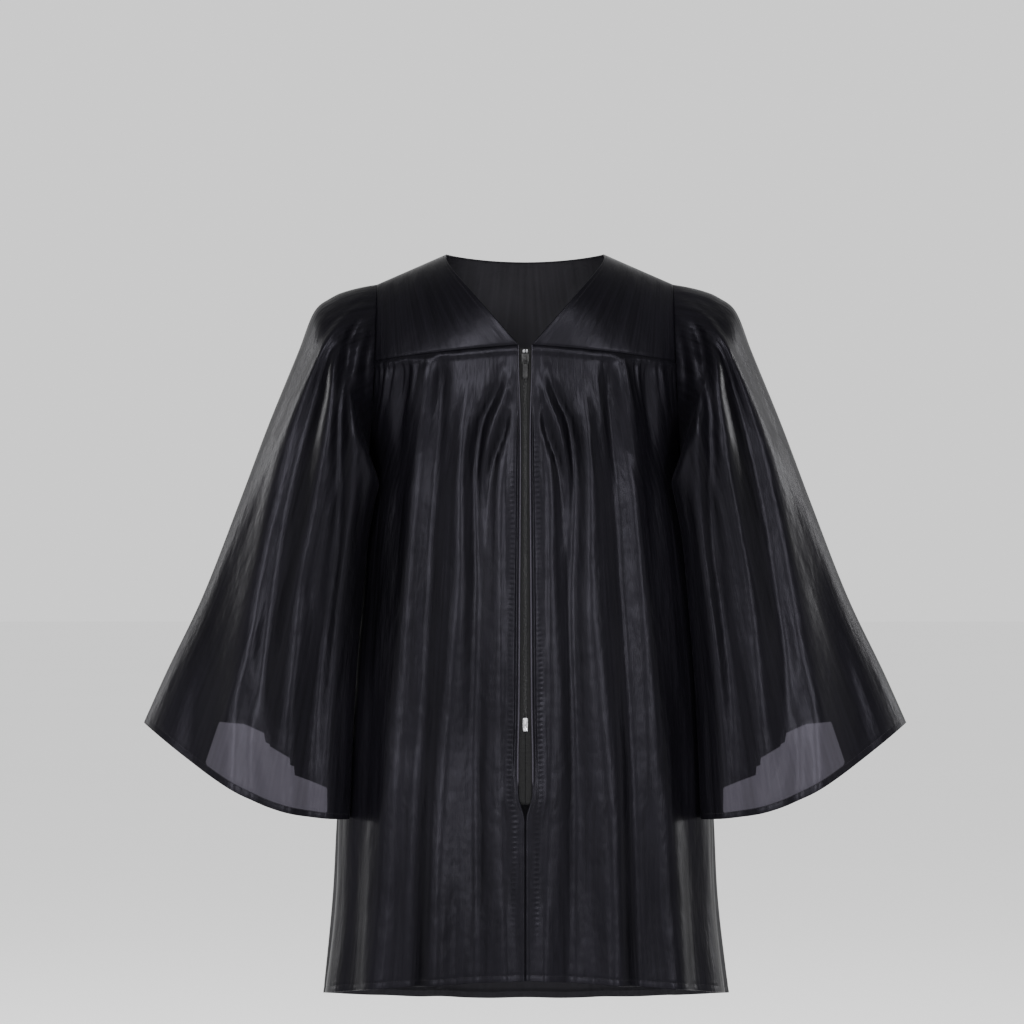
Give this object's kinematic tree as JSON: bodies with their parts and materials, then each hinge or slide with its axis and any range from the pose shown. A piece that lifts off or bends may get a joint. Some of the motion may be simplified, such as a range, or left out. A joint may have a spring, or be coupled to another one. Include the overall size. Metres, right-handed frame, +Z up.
{
  "type": "graduation gown",
  "caption": "Child's graduation gown, hollow as worn: yokes, gathered front and back panels, bell sleeves, V neck and centre front zip with a pull tab that swings.",
  "frame": {"origin": "middle of the neck, level with the neck ends of the shoulder seams, where a wearer's shoulders hold the gown up", "axes": "+X to the wearer's left, +Y to the wearer's back, +Z up; the zip faces -Y"},
  "size_m": [0.776, 0.2528, 0.7691],
  "materials": {
    "satin": "black polyester satin, soft sheen, duller wrong side",
    "zip_tape": "matte black woven tape",
    "zip_coil": "black nylon coil",
    "zip_metal": "black lacquered zinc",
    "zip_steel": "bright pressed metal"
  },
  "bodies": {
    "gown": {"front_yoke_left": "satin", "front_yoke_right": "satin", "back_yoke": "satin", "front_panel_left": "satin", "front_panel_right": "satin", "back_panel": "satin", "sleeve_left": "satin", "sleeve_right": "satin", "zip_tape_left": "zip_tape", "zip_tape_right": "zip_tape", "zip_coil": "zip_coil", "zip_slider": "zip_metal", "zip_bottom_stop": "zip_steel", "zip_top_stop_left": "zip_steel", "zip_top_stop_right": "zip_steel"},
    "pull_tab": {"zip_pull_tab": "zip_metal"}
  },
  "joints": [
    {"name": "pull_tab_swing", "type": "hinge", "parent": "gown", "child": "pull_tab", "pos_m": [0, -0.09542, -0.10975], "axis": [-1, 0, 0], "range_deg": [0, 165]}
  ]
}
